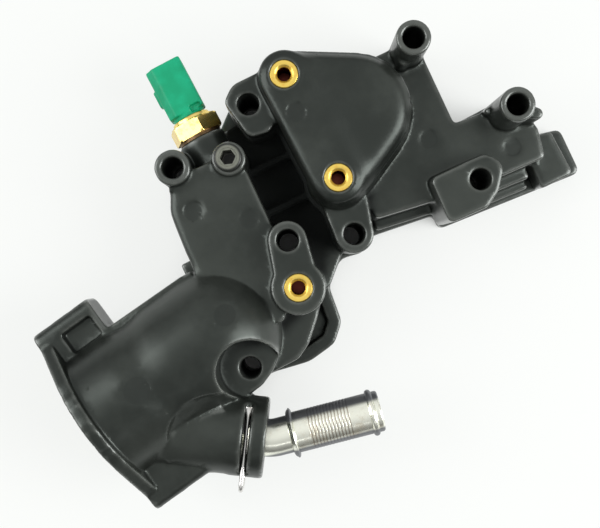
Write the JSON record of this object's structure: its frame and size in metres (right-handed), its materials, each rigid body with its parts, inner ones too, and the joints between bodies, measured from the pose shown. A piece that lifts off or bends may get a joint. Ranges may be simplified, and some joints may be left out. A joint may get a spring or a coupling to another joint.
{
  "type": "thermostat housing",
  "caption": "Moulded coolant thermostat housing with flanged mouth, chamber, dome and arm, temperature sensor, vent screw, brass inserts and a clipped heater stub pipe.",
  "frame": {"origin": "centre of the head port on the rear face", "axes": "+Z out of the front, away from the cylinder head; +X along the arm; +Y along the sensor"},
  "size_m": [0.2379, 0.1748, 0.0669],
  "materials": {
    "shell": "moulded glass-filled nylon",
    "cover": "moulded glass-filled nylon",
    "seal": "black rubber",
    "insert_brass": "bright brass",
    "sensor_brass": "turned brass",
    "plug_green": "green moulded nylon",
    "contact": "tinned",
    "copper": "copper washer",
    "plated": "bright zinc plate",
    "spring_steel": "stainless wire",
    "stamped": "stamped stainless",
    "wax_copper": "drawn copper alloy",
    "screw": "black plastic screw"
  },
  "bodies": {
    "housing": {"front_housing": "shell", "rear_cover": "cover", "head_seal": "seal", "brass_inserts": "insert_brass", "sensor_body": "sensor_brass", "sensor_connector": "plug_green", "sensor_pins": "contact", "sensor_seal": "copper", "stub_pipe": "plated", "pipe_seal": "seal", "thermostat_seal": "seal", "thermostat_flange": "stamped", "thermostat_cage": "stamped", "piston_pin": "contact", "main_spring": "spring_steel"},
    "valve": {"wax_capsule": "wax_copper", "valve_disc": "stamped", "bypass_disc": "stamped", "bypass_spring": "spring_steel"},
    "clip": {"pipe_clip": "spring_steel"},
    "vent_ring": {"bleed_seal": "seal"},
    "vent_screw": {"bleed_screw": "screw"}
  },
  "joints": [
    {"name": "valve_slide", "type": "slide", "parent": "housing", "child": "valve", "axis": [0.9816, 0.1908, 0], "range_m": [0, 0.007], "stiffness_N_per_m": 2000, "springref_m": -0.008, "deforming": ["main_spring"]},
    {"name": "clip_pull", "type": "slide", "parent": "housing", "child": "clip", "axis": [-0.515, -0.8572, 0], "range_m": [0, 0.02]},
    {"name": "vent_turn", "type": "hinge", "parent": "housing", "child": "vent_ring", "pos_m": [-0.054, 0.0032, 0.05], "axis": [0, 0, 1], "range_deg": [0, 720]},
    {"name": "vent_lift", "type": "slide", "parent": "vent_ring", "child": "vent_screw", "axis": [0, 0, 1], "range_m": [0, 0.0025]}
  ],
  "couplings": [
    {"joint": "vent_turn", "follows": "vent_lift", "rad_per_m": 5026.5}
  ]
}
